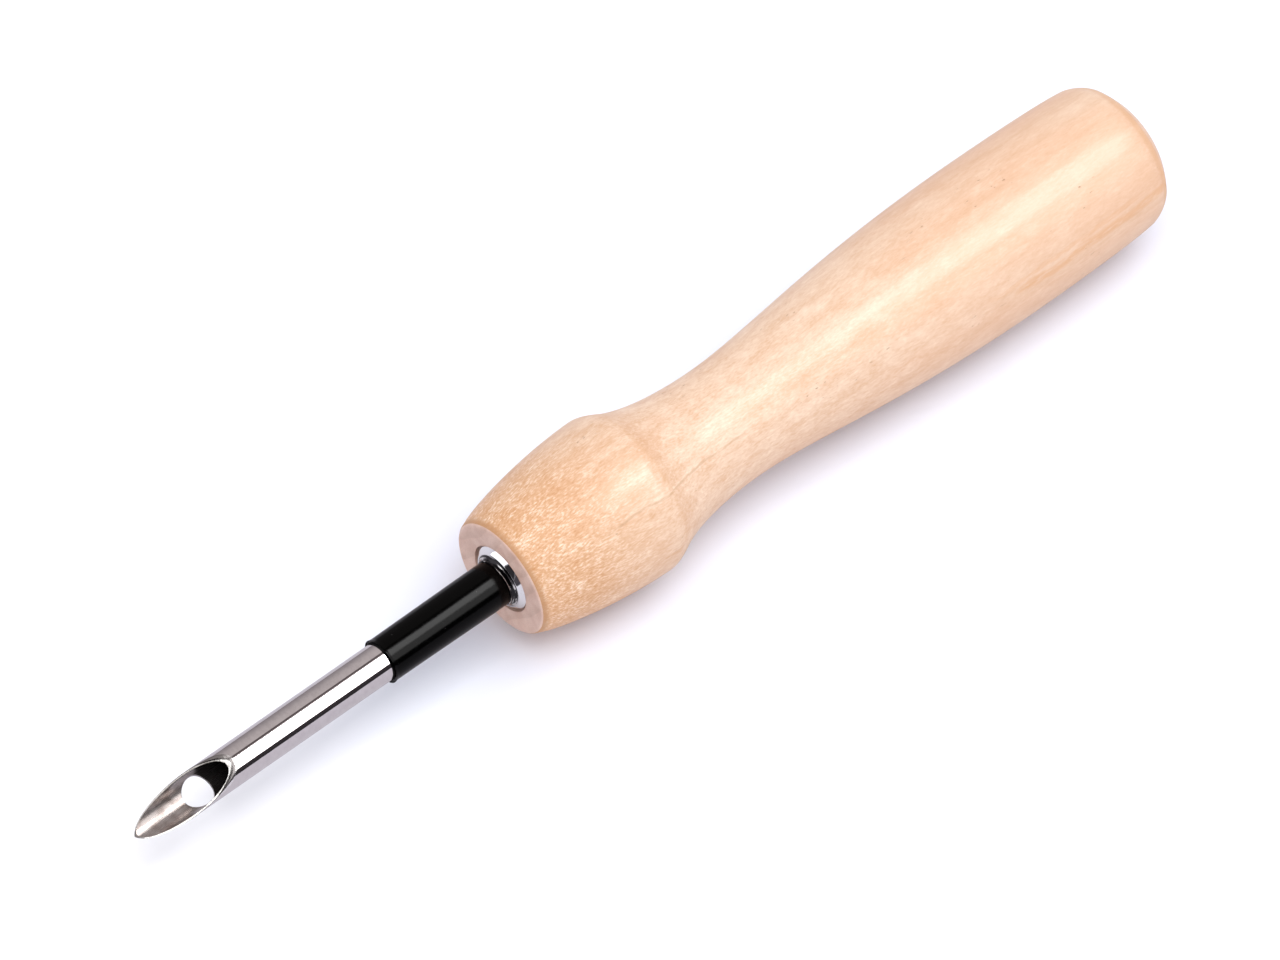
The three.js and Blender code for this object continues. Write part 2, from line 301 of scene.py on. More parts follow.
def wood_side():
    """Turned and sealed wood, cut along the grain."""
    shader = Shader("pale_birch")
    along = shader.part(shader.point, 0)
    rings = growth_rings(shader)
    broad = shader.noise((0.018, 0.13, 0.13), (5, 2, 9), detail=2)
    veins = shader.noise((0.05, 0.9, 0.9), (1, 8, 3), detail=4, rough=0.6)
    figure = shader.noise((0.3, 0.7, 0.7), (8, 4, 1), detail=2)
    fibres = shader.noise((0.9, 2.6, 2.6), (4, 4, 2), detail=3, rough=0.65)
    flecks = shader.noise((1.6, 5.5, 5.5), (9, 3, 6), detail=2, rough=0.6)

    pale = (0.77, 0.555, 0.395)
    peach = (0.75, 0.49, 0.325)
    tan = (0.65, 0.40, 0.24)
    warm_tan = (0.67, 0.37, 0.185)
    cream = (1.0, 0.84, 0.67)
    brown = (0.55, 0.25, 0.085)
    pore_brown = (0.34, 0.18, 0.09)
    speck = (0.46, 0.25, 0.12)
    amber = (0.68, 0.36, 0.17)
    burnt = (0.50, 0.26, 0.12)
    rubbed_and_highlight = (0.62, 0.33, 0.14)
    colour = shader.mix(shader.remap(broad, 0.36, 0.66), pale, peach)
    colour = shader.mix(shader.product(rings, 0.2), colour, tan)
    colour = shader.mix(shader.remap(veins, 0.5, 0.8, 0.0, 0.4), colour, tan)

    # The bulb is coloured warmer and darker towards the front face.
    front = shader.remap(along, 24.0, 1.0)
    colour = shader.mix(shader.product(front, 0.76), colour, warm_tan)

    # Painted shade: the hollow behind the ring is a little darker.
    hollow_shade = shader.product(shader.remap(along, 19.5, 20.0), shader.remap(along, 23.5, 20.3))
    colour = shader.mix(shader.product(hollow_shade, 0.35), colour, tan)

    # Light and dark flecks, strong on the bulb and weak on the grip.
    fine = shader.product(shader.remap(along, 4, 17, 1.35, 0.55), shader.remap(along, 25, 75, 1.0, 0.3))
    medium = shader.product(shader.remap(along, 3, 16, 0.65, 0.38), shader.remap(along, 50, 90, 1.0, 0.6))
    wide = shader.remap(along, 30, 90, 0.45, 0.22)
    tone = -0.02  # a little more dark than light
    for texture, weight in ((flecks, fine), (fibres, medium), (figure, wide)):
        off_middle = shader.math("SUBTRACT", texture, 0.5)
        tone = shader.math("MULTIPLY_ADD", off_middle, weight, tone)
    colour = shader.mix(shader.remap(tone, 0.0, 0.5, smooth=False), colour, cream)
    colour = shader.mix(shader.remap(tone, 0.0, -0.5, smooth=False), colour, brown)

    # Small dark pores, in a few loose groups, and three thin streaks.
    pore = shader.noise((1.3, 4.2, 4.2), (7, 7, 1), detail=1, rough=0.4)
    groups = shader.remap(shader.noise((0.09, 0.16, 0.16), (2, 6, 4), detail=1), 0.52, 0.68)
    pores = shader.product(shader.remap(pore, 0.70, 0.78), groups)
    colour = shader.mix(shader.product(pores, 0.6), colour, pore_brown)
    streaks = ((47, 0.22, 9, 34, 0.4, speck), (75, 0.9, 70, 98, 0.6, amber), (68, 0.5, 66, 92, 0.35, amber))
    for angle, half_width, start, end, amount, stain in streaks:
        line = streak(shader, angle, half_width, start, end)
        colour = shader.mix(shader.product(line, amount), colour, stain)

    # Edges burnished while turning: round the front face, then the ring and the butt.
    edge = shader.remap(along, 1.1, 0.3)
    colour = shader.mix(shader.product(edge, 0.85), colour, burnt)
    for middle, half_width, amount in ((19.7, 0.5, 0.15), (95.5, 0.9, 0.42)):
        line = band(shader, along, middle, half_width)
        colour = shader.mix(shader.product(line, amount), colour, rubbed_and_highlight)

    height = shader.math("ADD", shader.product(fibres, 0.5), shader.product(flecks, 0.5))
    height = shader.product(height, shader.remap(along, 2, 60, 1.0, 0.35))
    normal = shader.bump(height, 0.03, over=shader.bump(shader.product(pores, -1.0), 0.05))
    roughness = shader.remap(fibres, 0.3, 0.7, 0.42, 0.56, smooth=False)
    return shader.finish(
        Base_Color=colour,
        Roughness=roughness,
        Normal=normal,
        Coat_Normal=shader.bump(height, 0.012),
        Specular_IOR_Level=0.3,
        Coat_Weight=0.175,
        Coat_Roughness=0.16,
        Coat_IOR=1.48,
    )


def wood_end():
    """End grain: closed pores show as fine dots and the growth rings as arcs."""
    shader = Shader("birch_end_grain")
    rings = growth_rings(shader)
    dots = shader.noise((0.5, 9.0, 9.0), (2, 3, 8), detail=3, rough=0.6)
    cloud = shader.noise((0.2, 0.5, 0.5), (6, 1, 5), detail=2)
    pale = (0.77, 0.55, 0.45)
    rose = (0.69, 0.46, 0.365)
    ring_brown = (0.42, 0.25, 0.17)
    dot_brown = (0.36, 0.22, 0.16)
    colour = shader.mix(shader.remap(cloud, 0.35, 0.65), pale, rose)
    colour = shader.mix(shader.product(rings, 0.24), colour, ring_brown)
    colour = shader.mix(shader.remap(dots, 0.5, 0.72, 0.0, 0.45), colour, dot_brown)
    return shader.finish(
        Base_Color=colour,
        Roughness=shader.remap(dots, 0.3, 0.7, 0.5, 0.7, smooth=False),
        Normal=shader.bump(dots, 0.02),
        Specular_IOR_Level=0.4,
        Coat_Weight=0.28,
        Coat_Roughness=0.3,
    )


def polished_nickel():
    """Drawn and plated tube: fine lines along it, a few faint scuffs."""
    shader = Shader("polished_nickel")
    drawn = shader.noise((0.04, 9.0, 9.0), (3, 5, 7), detail=3, rough=0.6)
    scuffs = shader.noise((1.2, 0.9, 0.9), (8, 1, 4), detail=4, rough=0.7)
    tone = shader.remap(scuffs, 0.35, 0.7)
    return shader.finish(
        Base_Color=shader.mix(tone, (0.66, 0.625, 0.63), (0.60, 0.565, 0.57)),
        Metallic=1.0,
        Roughness=shader.remap(scuffs, 0.3, 0.75, 0.035, 0.09, smooth=False),
        Normal=shader.bump(drawn, 0.0008, over=shader.bump(scuffs, 0.002)),
    )


def bore_nickel():
    """Inside of the tube, duller and browner, with marks from drawing, and painted shade that turns it
    nearly black further in.
    """
    shader = Shader("bore_nickel")
    drawn = shader.noise((0.12, 6.0, 6.0), (1, 9, 2), detail=4, rough=0.65)
    stain = shader.noise((0.7, 0.8, 0.8), (5, 2, 6), detail=4, rough=0.6)
    clean = (0.36, 0.325, 0.31)
    stained = (0.24, 0.20, 0.185)
    painted_shade_black = (0.02, 0.018, 0.018)
    dark_start, dark_full = 8.5, 11  # distances from the point
    colour = shader.mix(shader.remap(stain, 0.35, 0.68), clean, stained)
    # Painted shade: deeper in the bore the colour turns nearly black.
    along = shader.part(shader.point, 0)
    depth = shader.remap(along, -NEEDLE_REACH + dark_start, -NEEDLE_REACH + dark_full, 0.0, 0.85)
    colour = shader.mix(depth, colour, painted_shade_black)
    return shader.finish(
        Base_Color=colour,
        Metallic=0.8,
        Roughness=shader.remap(drawn, 0.3, 0.7, 0.22, 0.34, smooth=False),
        Normal=shader.bump(drawn, 0.003),
    )


def ground_nickel():
    """The bevel's ground and buffed face, with grinding lines across it and a painted dark reflection on
    its far side.
    """
    shader = Shader("ground_nickel")
    lines = shader.noise((5.0, 0.7, 0.7), (4, 2, 9), detail=3, rough=0.7)
    grit = shader.noise((6.0, 6.0, 6.0), (2, 7, 5), detail=2, rough=0.7)
    bright = (0.93, 0.93, 0.925)
    grey = (0.74, 0.72, 0.71)
    painted_dark_reflection = (0.20, 0.185, 0.18)
    pitted = (0.16, 0.15, 0.145)
    colour = shader.mix(shader.remap(lines, 0.35, 0.65), bright, grey)
    # Painted reflection: the face is darker on its far side.
    far_side_reflection = shader.remap(shader.part(shader.point, 1), -0.3, 0.5, 0.0, 0.8)
    colour = shader.mix(far_side_reflection, colour, painted_dark_reflection)
    colour = shader.mix(shader.remap(grit, 0.54, 0.68, 0.0, 0.6), colour, pitted)
    return shader.finish(
        Base_Color=colour,
        Metallic=1.0,
        Roughness=shader.remap(lines, 0.3, 0.7, 0.10, 0.22, smooth=False),
        Normal=shader.bump(lines, 0.004, over=shader.bump(grit, 0.012)),
    )


def chrome(name, seed):
    """Bright chrome with very faint buffing swirls and specks."""
    shader = Shader(name)
    swirls = shader.noise((2.0, 3.5, 3.5), seed, detail=4, rough=0.6)
    specks = shader.noise((6.0, 6.0, 6.0), seed[::-1], detail=1)
    bright = (0.86, 0.865, 0.875)
    tarnished = (0.5, 0.48, 0.46)
    colour = shader.mix(shader.remap(specks, 0.66, 0.76, 0.0, 0.4), bright, tarnished)
    return shader.finish(
        Base_Color=colour,
        Metallic=1.0,
        Roughness=shader.remap(swirls, 0.3, 0.75, 0.03, 0.08, smooth=False),
        Normal=shader.bump(swirls, 0.0015),
    )


def dark_chrome():
    """Chrome painted nearly black as a painted dark reflection, with thin bright lines as painted
    highlights.
    """
    shader = Shader("dark_chrome")
    rubbed_and_highlight = shader.noise((7.0, 0.45, 0.45), (6, 2, 4), detail=3, rough=0.6)
    black = (0.03, 0.028, 0.03)
    bright = (0.8, 0.79, 0.78)
    # Painted reflection and highlights: nearly black, with thin bright lines.
    colour = shader.mix(shader.remap(rubbed_and_highlight, 0.53, 0.61), black, bright)
    return shader.finish(
        Base_Color=colour,
        Metallic=1.0,
        Roughness=shader.remap(rubbed_and_highlight, 0.3, 0.7, 0.08, 0.2, smooth=False),
        Normal=shader.bump(rubbed_and_highlight, 0.004),
    )


def black_plastic():
    """Extruded tube: fine lines along it, light scuffs and dust."""
    shader = Shader("black_plastic")
    extruded = shader.noise((0.05, 5.0, 5.0), (6, 6, 3), detail=3, rough=0.6)
    scuffs = shader.noise((1.6, 2.2, 2.2), (2, 9, 5), detail=4, rough=0.7)
    dust = shader.noise((5.0, 5.0, 5.0), (1, 1, 8), detail=1)
    black = (0.0001, 0.0001, 0.0001)
    scuffed = (0.0008, 0.0008, 0.0009)
    dust_grey = (0.16, 0.15, 0.145)
    colour = shader.mix(shader.remap(scuffs, 0.5, 0.8), black, scuffed)
    colour = shader.mix(shader.remap(dust, 0.76, 0.82, 0.0, 0.35), colour, dust_grey)
    return shader.finish(
        Base_Color=colour,
        Roughness=shader.remap(scuffs, 0.3, 0.75, 0.12, 0.2, smooth=False),
        Normal=shader.bump(extruded, 0.004, over=shader.bump(scuffs, 0.003)),
        Specular_IOR_Level=0.075,
    )


def drawn_steel():
    """Plain tube with drawing lines and a grey patina."""
    shader = Shader("drawn_steel")
    drawn = shader.noise((0.03, 5.0, 5.0), (8, 3, 1), detail=3, rough=0.6)
    patina = shader.noise((0.3, 0.4, 0.4), (3, 8, 2), detail=3)
    return shader.finish(
        Base_Color=shader.mix(shader.remap(patina, 0.35, 0.65), (0.56, 0.56, 0.57), (0.42, 0.41, 0.41)),
        Metallic=1.0,
        Roughness=shader.remap(drawn, 0.3, 0.7, 0.28, 0.45, smooth=False),
        Normal=shader.bump(drawn, 0.006),
    )


# ---- Pieces -----------------------------------------------------------------------------------

# What is pressed into the handle, with the gaps that stand for press fits and butted faces.
PRESS_GAP = 0.02
FACE_GAP = 0.05
FLANGE_RADIUS = 4.31
FLANGE_THICKNESS = 0.5
FLANGE_RECESS_RADIUS = 4.45
RECESS_DEPTH = FLANGE_THICKNESS + FACE_GAP
STEM_RADIUS = 3.3
STEM_LENGTH = 12
LINER_RADIUS = 3.0
LINER_BORE_RADIUS = 2.48

# Places along the handle's outside, as (radius, y).
NECK = (7.25, 34.3)
SWELL = (9.98, 76.8)
BUTT_SHOULDER = (9.45, 94)
BUTT_CHAMFER = (8.53, 95.9)


def handle_outline():
    """The turned outside from the front face to the butt face, then back along the bore."""
    ring = (RING_RADIUS, 18.2)
    shoulder = (7.7, 0.8)
    cove = (9.32, 21.1)
    out = [(6.9, 0), (7.06, 0.0)]
    out += bezier((7.06, 0), (7.5, 0.02), shoulder, steps=10)
    out += bezier(shoulder, (8.7, 2.9), (RING_RADIUS, 11.4), ring, steps=26)
    out += bezier(ring, (RING_RADIUS, 19.1), (9.75, 20.25), cove, steps=14)
    out += bezier(cove, (8.25, 23.3), (NECK[0], 28), NECK, steps=18)
    out += bezier(NECK, (NECK[0], 43.6), (SWELL[0], 54.2), SWELL, steps=40)
    out += bezier(SWELL, (SWELL[0], 84), (9.8, 91.8), BUTT_SHOULDER, steps=16)
    out += bezier(BUTT_SHOULDER, (9.18, 95.1), BUTT_CHAMFER, steps=10)
    out += bezier(BUTT_CHAMFER, (6.5, HANDLE_LENGTH - 0.02), (5.9, HANDLE_LENGTH), steps=10)
    bore = rounded([
        (FLANGE_RECESS_RADIUS, HANDLE_LENGTH, 0.08),
        (FLANGE_RECESS_RADIUS, HANDLE_LENGTH - RECESS_DEPTH, 0.05),
        (LINER_RADIUS + PRESS_GAP, HANDLE_LENGTH - RECESS_DEPTH, 0.05),
        (LINER_RADIUS + PRESS_GAP, RECESS_DEPTH + STEM_LENGTH, 0.05),
        (STEM_RADIUS + PRESS_GAP, RECESS_DEPTH + STEM_LENGTH, 0.05),
        (STEM_RADIUS + PRESS_GAP, RECESS_DEPTH, 0.05),
        (FLANGE_RECESS_RADIUS, RECESS_DEPTH, 0.05),
        (FLANGE_RECESS_RADIUS, 0, 0.08),
    ])
    return out + bore


def make_handle():
    def slot_of(r, y):
        """The flat ends and the bore show end grain or bare wood."""
        flat_front = y < 0.12
        flat_butt = y > HANDLE_LENGTH - 0.02
        bored = r < FLANGE_RECESS_RADIUS + 0.01
        return 1 if flat_front or flat_butt or bored else 0

    materials = [wood_side(), wood_end()]
    piece = turned("wooden_handle", handle_outline(), materials, segments=192, slot_of=slot_of)
    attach(piece, "tool")
    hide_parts("handle")


def make_ferrule():
    """The collar flares to the flange, whose front slopes down from a crest to its outer edge."""
    collar = 2.95
    root = (3.42, -0.27)
    crest = (3.6, -0.27)
    front = -0.87
    bore = 2.45
    stem_end = FLANGE_THICKNESS + STEM_LENGTH
    outline = rounded([
        (bore, front, 0.05),
        (collar, front, 0.04),
        (collar + 0.01, front + 0.1, 0.02),
        (collar - 0.05, front + 0.14, 0.02),
        (collar + 0.03, front + 0.2, 0.03),
    ])
    outline += bezier(outline[-1], (collar + 0.15, -0.45), root, steps=10)
    outline += bezier(root, (root[0] + 0.06, crest[1]), (crest[0] - 0.06, crest[1]), steps=4)
    outline += bezier(outline[-1], crest, (crest[0] + 0.05, crest[1] + 0.045), steps=4)
    outline += bezier(outline[-1], (3.95, 0.04), (FLANGE_RADIUS - 0.03, 0.26), steps=8)
    outline += rounded([
        (FLANGE_RADIUS, 0.28, 0.03),
        (FLANGE_RADIUS, FLANGE_THICKNESS, 0.05),
        (STEM_RADIUS, FLANGE_THICKNESS, 0.05),
        (STEM_RADIUS, stem_end - 0.4, 0.1),
        (STEM_RADIUS - 0.3, stem_end, 0.05),
        (bore, stem_end, 0.05),
    ])

    def slot_of(r, y):
        """The collar gets the chrome with a painted dark reflection, up to the foot of the flange."""
        return 1 if y < root[1] - 0.015 and r < root[0] else 0

    materials = [chrome("ferrule_chrome", (3, 7, 2)), dark_chrome()]
    piece = turned("chrome_ferrule", outline, materials, slot_of=slot_of)
    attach(piece, "tool")
    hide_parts("front_ferrule")


def make_sleeve():
    """A plain tube, narrower at the front, with a thin lip there."""
    bore = 2.47
    root = 2.86
    outline = rounded([
        (bore, SLEEVE_FRONT + 0.16, 0.03),
        (2.84, SLEEVE_FRONT + 0.01, 0.015),
        (2.82, SLEEVE_FRONT + 0.12, 0.04),
        (2.76, SLEEVE_FRONT + 0.45, 0.15),
        (2.78, SLEEVE_FRONT + 4, 0.5),
        (root, SLEEVE_REAR - 2, 0.5),
        (root, SLEEVE_REAR, 0.1),
        (bore, SLEEVE_REAR, 0.05),
    ])

    def hand_cut(angle, r, y):
        """The front end was cut by hand, so it is a little uneven over its first stretch."""
        uneven_length = 1.5
        nearness = max(0.0, 1 - (y - SLEEVE_FRONT) / uneven_length)
        y += nearness * (0.03 + 0.03 * math.sin(angle + 0.8))
        if r > bore + 0.1:
            r += nearness * 0.02 * math.sin(3 * angle + 1.1)
        return r, y

    piece = turned("black_sleeve", outline, [black_plastic()], shape=hand_cut)
    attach(piece, "sleeve")
    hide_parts("depth_sleeve")


def make_liner():
    """The tube that carries the yarn through the handle."""
    front = RECESS_DEPTH + STEM_LENGTH + FACE_GAP
    rear = HANDLE_LENGTH - RECESS_DEPTH - FACE_GAP
    outline = rounded([
        (LINER_BORE_RADIUS, front, 0.08),
        (LINER_RADIUS, front, 0.1),
        (LINER_RADIUS, rear, 0.1),
        (LINER_BORE_RADIUS, rear, 0.08),
    ])
    piece = turned("liner_tube", outline, [drawn_steel()], segments=96)
    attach(piece, "tool")
    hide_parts("yarn_liner")


def make_eyelet():
    """A flanged eyelet with a rounded mouth, let into the butt; its stem goes into the liner."""
    face = HANDLE_LENGTH - FACE_GAP
    flange_front = face - FLANGE_THICKNESS + FACE_GAP
    flange_bevel = 0.55
    stem_length = 5
    stem_front = flange_front - stem_length
    stem = 2.45
    bore = 2.1
    mouth = 3.1
    mouth_depth = 1.2
    flare = bezier((mouth, face), (bore, face), (bore, face - mouth_depth), steps=14)
    outline = rounded([
        (stem - 0.15, stem_front, 0.05),
        (stem, stem_front + 0.3, 0.1),
        (stem, flange_front, 0.03),
        (FLANGE_RADIUS, flange_front, 0.06),
        (FLANGE_RADIUS, face - 0.16, 0.08),
        (FLANGE_RADIUS - flange_bevel, face, 0.12),
        (mouth, face, 0),
    ])
    outline += flare + [(bore, stem_front)]
    piece = turned("butt_eyelet", outline, [chrome("eyelet_chrome", (5, 1, 9))])
    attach(piece, "tool")
    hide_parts("rear_eyelet")


# ---- The needle -------------------------------------------------------------------------------
# Its wall is two skins, outer and inner, each meshed flat as (arc length, distance from the point)
# and rolled up. Strips with small rounded edges join the skins round the bevel's rim and the eye.

OUTER_RADIUS = 2.42
INNER_RADIUS = 2.15
POINT_WALL = 0.05
GROUND_LENGTH = 7.0  # the wall is ground thinner over this length from the point
HEEL_START = 9.0
HEEL_END = 11.6
BEVEL_SLOPE = 0.3
BEVEL_NOSE = 0.45
BEVEL_BOW = 0.0065
BEVEL_TURN = math.radians(21)
EYE_FROM_TIP = 9.2
EYE_RADIUS = 1.88
EDGE_SHARE = 0.24  # how much of the wall's thickness the rounding of an edge takes
HEEL_SHARE = 1.6  # how much more it takes on the outside of the bevel's heel
FUNNEL_DEPTH = 0.5  # the bore widens over this length at the shank's end
SKIN_STEP = 0.2
ROW_STEP = 0.87 * SKIN_STEP  # rows of nearly equilateral triangles
CLEARANCE = 0.65 * SKIN_STEP  # from a skin's inner points to its edges
SAME_POINT = 1e-7
SKIN_END = 15.0
RIM_POINTS = 180
EYE_POINTS = 96
AROUND = 96


def bevel_height(distance):
    """Height of the bevel's cut above the lower wall's outside, at a distance from the point."""
    square = distance * distance
    return BEVEL_SLOPE * square / (distance + BEVEL_NOSE) + BEVEL_BOW * square


def bevel_distance(height):
    """How far from the point the bevel's cut reaches a height, by halving an interval."""
    low, high = 0.0, SKIN_END
    for _ in range(40):
        middle = (low + high) / 2
        if bevel_height(middle) < height:
            low = middle
        else:
            high = middle
    return high


def ease(value, low, high):
    """0 below the low value, 1 above the high one and an easy rise between them."""
    t = min(max((value - low) / (high - low), 0.0), 1.0)
    return t * t * (3 - 2 * t)


def wall(distance):
    """The wall's thickness: ground thin towards the point."""
    return POINT_WALL + (OUTER_RADIUS - INNER_RADIUS - POINT_WALL) * ease(distance, 0, GROUND_LENGTH)


def surface_radius(skin_radius, distance):
    """A skin's real radius: the wall thins from the inside."""
    return OUTER_RADIUS if skin_radius == OUTER_RADIUS else OUTER_RADIUS - wall(distance)


def edge_round(distance, skin_radius=INNER_RADIUS):
    """How far in from a corner the rounding starts. The bevel's heel is dulled on its outside."""
    share = EDGE_SHARE
    if skin_radius == OUTER_RADIUS:
        share += HEEL_SHARE * ease(distance, HEEL_START, HEEL_END)
    return share * wall(distance)


def roll(radius, arc, distance):
    """A skin's flat point as a point of the frame. Arc 0 is the lower wall, which holds the tip."""
    angle = arc / radius
    real = surface_radius(radius, distance)
    return needle_point(distance, real * math.sin(angle), -real * math.cos(angle))


def needle_direction(along, across, up):
    """A direction given with the bevel facing straight up, turned to where the bevel faces."""
    turn_across = across * math.cos(BEVEL_TURN) - up * math.sin(BEVEL_TURN)
    turn_up = across * math.sin(BEVEL_TURN) + up * math.cos(BEVEL_TURN)
    return Vector((along, turn_across, turn_up))


def needle_point(distance, across, up):
    """A point of the needle, by its distance from the point, in the frame."""
    offset = needle_direction(distance - NEEDLE_REACH, across, up)
    return place(offset.x, offset.y, offset.z)


def skin_normal(radius, arc, distance, sign):
    """The direction a skin faces: outwards for sign 1, towards the axis for sign -1."""
    angle = arc / radius
    step = 0.01
    flare = (surface_radius(radius, distance + step) - surface_radius(radius, distance - step)) / (2 * step)
    return needle_direction(-sign * flare, sign * math.sin(angle), -sign * math.cos(angle))


def rim_loop(radius):
    """The bevel's rim on a skin, as flat points from seam to seam, closer together near the point."""
    loop = []
    for i in range(RIM_POINTS + 1):
        u = 2 * i / RIM_POINTS - 1
        angle = math.pi * (0.3 * u + 0.7 * u * abs(u))
        distance = 0.0
        # The wall's thickness hangs on the distance, so the two settle together in a few rounds.
        for _ in range(6):
            height = OUTER_RADIUS - surface_radius(radius, distance) * math.cos(angle)
            distance = bevel_distance(height)
        loop.append(Vector((radius * angle, distance)))
    return loop


def eye_loop(radius):
    """The eye's edge on a skin, as flat points."""
    loop = []
    for i in range(EYE_POINTS):
        turn = 2 * math.pi * i / EYE_POINTS
        across = EYE_RADIUS * math.sin(turn)
        along = EYE_FROM_TIP + EYE_RADIUS * math.cos(turn)
        loop.append(Vector((radius * math.asin(across / radius), along)))
    return loop


def inset(loop, radius, closed):
    """A skin's loop moved into the wall by its edge rounding. The wall is on the left along the loop."""
    count = len(loop)
    out = []
    for i, point in enumerate(loop):
        if closed:
            step = loop[(i + 1) % count] - loop[i - 1]
        elif i in (0, count - 1):
            step = Vector((1, 0))
        else:
            step = loop[i + 1] - loop[i - 1]
        step.normalize()
        reach = edge_round(point.y, INNER_RADIUS if closed else radius)
        out.append(point + reach * Vector((-step.y, step.x)))
    return out


def inside(polygon, x, y):
    """Whether a point is inside a polygon, by counting crossings."""
    hit = False
    for (x0, y0), (x1, y1) in zip(polygon, polygon[1:] + polygon[:1]):
        if (y0 > y) != (y1 > y) and x < x0 + (y - y0) * (x1 - x0) / (y1 - y0):
            hit = not hit
    return hit


class Surface:
    """Vertices with exact normals, faces and their materials."""

    def __init__(self):
        self.vertices = []
        self.normals = []
        self.faces = []
        self.slots = []

    def vertex(self, point, normal):
        self.vertices.append(point)
        self.normals.append(normal.normalized())
        return len(self.vertices) - 1

    def face(self, corners, slot):
        """Adds a face, turned so that it faces the way its vertices' normals do."""
        a, b, c = (self.vertices[i] for i in corners[:3])
        outward = sum((self.normals[i] for i in corners), Vector((0, 0, 0)))
        if (b - a).cross(c - a).dot(outward) < 0:
            corners = corners[::-1]
        self.faces.append(tuple(corners))
        self.slots.append(slot)


def skin(surface, radius, sign, slot):
    """One skin of the needle's front part. Returns its rim, eye and rear rings of vertex numbers."""
    rim = inset(rim_loop(radius), radius, closed=False)
    eye = inset(eye_loop(radius), radius, closed=True)
    half = math.pi * radius
    seam_count = round((SKIN_END - rim[0].y) / SKIN_STEP)
    seam = [rim[0].y + (SKIN_END - rim[0].y) * i / seam_count for i in range(1, seam_count)]
    rear = [Vector((-half + 2 * half * i / AROUND, SKIN_END)) for i in range(AROUND + 1)]
    left = [Vector((-half, y)) for y in seam]
    right = [Vector((half, y)) for y in seam]
    edge = np.array([*rim, *eye, *rear, *left, *right])
    rim_array = np.array(rim)
    inner = []
    row = SKIN_STEP / 2
    odd = False
    while row < SKIN_END:
        shift = SKIN_STEP / 2 if odd else 0
        for x in np.arange(-half + shift, half, SKIN_STEP):
            clear = np.hypot(edge[:, 0] - x, edge[:, 1] - row).min() > CLEARANCE
            if clear and row > np.interp(x, rim_array[:, 0], rim_array[:, 1]) and not inside(eye, x, row):
                inner.append(Vector((x, row)))
        row += ROW_STEP
        odd = not odd
    points = [*rim, *eye, *rear, *left, *right, *inner]
    starts = np.cumsum([0, len(rim), len(eye), len(rear), len(left), len(right)])
    rim_ids, eye_ids, rear_ids, left_ids, right_ids = (
        list(range(a, b)) for a, b in zip(starts, starts[1:])
    )
    chains = [
        rim_ids,
        eye_ids + eye_ids[:1],
        rear_ids,
        [rim_ids[0], *left_ids, rear_ids[0]],
        [rim_ids[-1], *right_ids, rear_ids[-1]],
    ]
    edges = [pair for chain in chains for pair in zip(chain, chain[1:])]
    result = delaunay_2d_cdt(points, edges, [], 0, SAME_POINT)
    source = [ids[0] for ids in result[3]]
    same = {b: a for a, b in zip(left_ids, right_ids)}
    same[rim_ids[-1]] = rim_ids[0]
    same[rear_ids[-1]] = rear_ids[0]
    number = {}
    for i, point in enumerate(points):
        if i not in same:
            number[i] = surface.vertex(roll(radius, *point), skin_normal(radius, *point, sign))
    for i, twin in same.items():
        number[i] = number[twin]
    for triangle in result[2]:
        ids = [source[i] for i in triangle]
        x = sum(points[i].x for i in ids) / 3
        y = sum(points[i].y for i in ids) / 3
        if y > np.interp(x, rim_array[:, 0], rim_array[:, 1]) and not inside(eye, x, y):
            surface.face([number[i] for i in ids], slot)
    rings = (rim_ids[:-1], eye_ids, rear_ids[:-1])
    return [[number[i] for i in ids] for ids in rings]


def strip(surface, outer_ids, inner_ids, outer_edge, inner_edge, rounds, slot, steps=4):
    """Joins the skins round an opening: a rounded edge, the cut face and another rounded edge."""
    count = len(outer_ids)
    rows = []
    for i in range(count):
        top = outer_edge[i]
        low = inner_edge[i]
        across = (low - top).normalized()
        along = outer_edge[(i + 1) % count] - outer_edge[i - 1]
        cut = across.cross(along).normalized()
        skin_top = surface.vertices[outer_ids[i]]
        if cut.dot(top - skin_top) < 0:
            cut = -cut
        skin_low = surface.vertices[inner_ids[i]]
        top_end = top + across * rounds[i][0] * MM
        low_start = low - across * rounds[i][1] * MM
        row = [outer_ids[i]]
        corners = (
            (skin_top, top, top_end, surface.normals[outer_ids[i]], cut),
            (low_start, low, skin_low, cut, surface.normals[inner_ids[i]]),
        )
        for k, (start, corner, end, normal_a, normal_b) in enumerate(corners):
            first, last = (1, steps) if k == 0 else (0, steps - 1)
            for j in range(first, last + 1):
                t = j / steps
                point = start * (1 - t) ** 2 + corner * 2 * t * (1 - t) + end * t**2
                row.append(surface.vertex(point, normal_a.lerp(normal_b, t)))
        row.append(inner_ids[i])
        rows.append(row)
    for i in range(count):
        here = rows[i]
        there = rows[(i + 1) % count]
        for j in range(len(here) - 1):
            surface.face([here[j], here[j + 1], there[j + 1], there[j]], slot)


def tube_rest(surface, radius, sign, ring, end, slot):
    """The plain tube from the end of a skin to the shank's end."""
    made = []
    for i in range(AROUND):
        arc = math.pi * radius * (2 * i / AROUND - 1)
        made.append(surface.vertex(roll(radius, arc, end), skin_normal(radius, arc, end, sign)))
    for i in range(AROUND):
        k = (i + 1) % AROUND
        surface.face([ring[i], ring[k], made[k], made[i]], slot)
    return made


